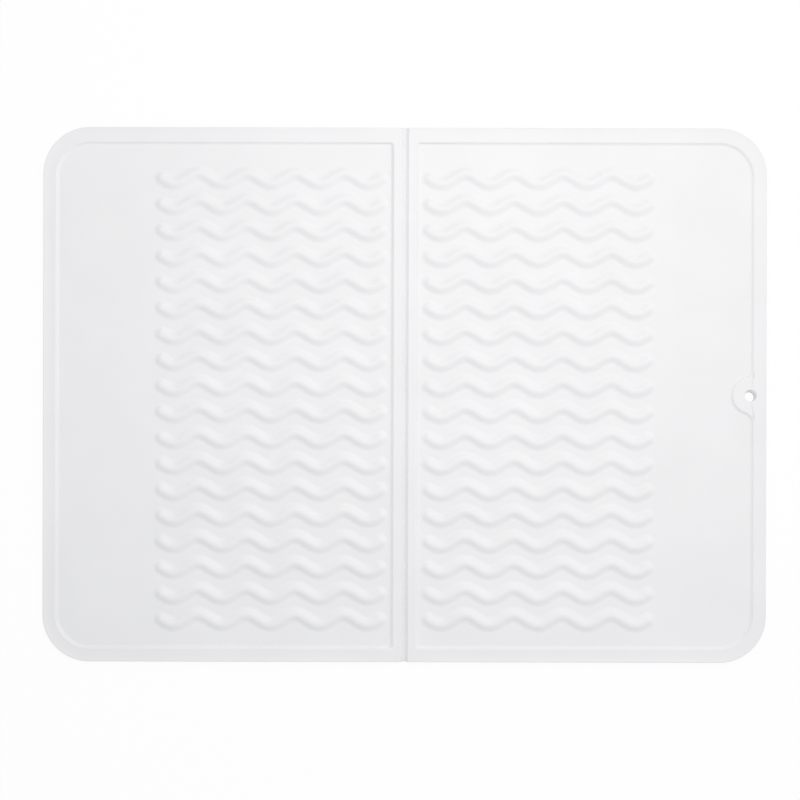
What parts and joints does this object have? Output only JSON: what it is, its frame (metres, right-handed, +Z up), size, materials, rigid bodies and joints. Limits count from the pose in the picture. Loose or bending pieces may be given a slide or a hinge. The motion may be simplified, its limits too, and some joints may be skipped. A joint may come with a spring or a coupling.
{
  "type": "silicone dish drying mat",
  "caption": "Foldable silicone dish drying mat with a raised rim, wavy draining ribs, a living hinge across the middle and a hanging eyelet in one edge.",
  "frame": {"origin": "middle of the fold on the flat underside, which is the bottom centre of the bounding box", "axes": "+X along the mat's length towards the edge with the hanging eyelet, +Y along the fold towards the back edge, +Z up out of the ribbed side"},
  "size_m": [0.44, 0.325, 0.0036],
  "materials": {
    "white_silicone": "satin moulded silicone"
  },
  "bodies": {
    "left_half": {"left_sheet": "white_silicone", "left_rim": "white_silicone", "left_rib_01": "white_silicone", "left_rib_02": "white_silicone", "left_rib_03": "white_silicone", "left_rib_04": "white_silicone", "left_rib_05": "white_silicone", "left_rib_06": "white_silicone", "left_rib_07": "white_silicone", "left_rib_08": "white_silicone", "left_rib_09": "white_silicone", "left_rib_10": "white_silicone", "left_rib_11": "white_silicone", "left_rib_12": "white_silicone", "left_rib_13": "white_silicone", "left_rib_14": "white_silicone", "left_rib_15": "white_silicone", "left_rib_16": "white_silicone", "left_rib_17": "white_silicone", "left_rib_18": "white_silicone"},
    "fold_strip": {"fold_strip": "white_silicone"},
    "right_half": {"right_sheet": "white_silicone", "right_rim": "white_silicone", "hanging_eyelet": "white_silicone", "right_rib_01": "white_silicone", "right_rib_02": "white_silicone", "right_rib_03": "white_silicone", "right_rib_04": "white_silicone", "right_rib_05": "white_silicone", "right_rib_06": "white_silicone", "right_rib_07": "white_silicone", "right_rib_08": "white_silicone", "right_rib_09": "white_silicone", "right_rib_10": "white_silicone", "right_rib_11": "white_silicone", "right_rib_12": "white_silicone", "right_rib_13": "white_silicone", "right_rib_14": "white_silicone", "right_rib_15": "white_silicone", "right_rib_16": "white_silicone", "right_rib_17": "white_silicone", "right_rib_18": "white_silicone"}
  },
  "joints": [
    {"name": "left_fold", "type": "hinge", "parent": "fold_strip", "child": "left_half", "pos_m": [-0.0025, 0, 0.00135], "axis": [0, 1, 0], "range_deg": [0, 90]},
    {"name": "right_fold", "type": "hinge", "parent": "fold_strip", "child": "right_half", "pos_m": [0.0025, 0, 0.00135], "axis": [0, -1, 0], "range_deg": [0, 90]}
  ],
  "couplings": [
    {"joint": "left_fold", "follows": "right_fold", "ratio": 1}
  ]
}
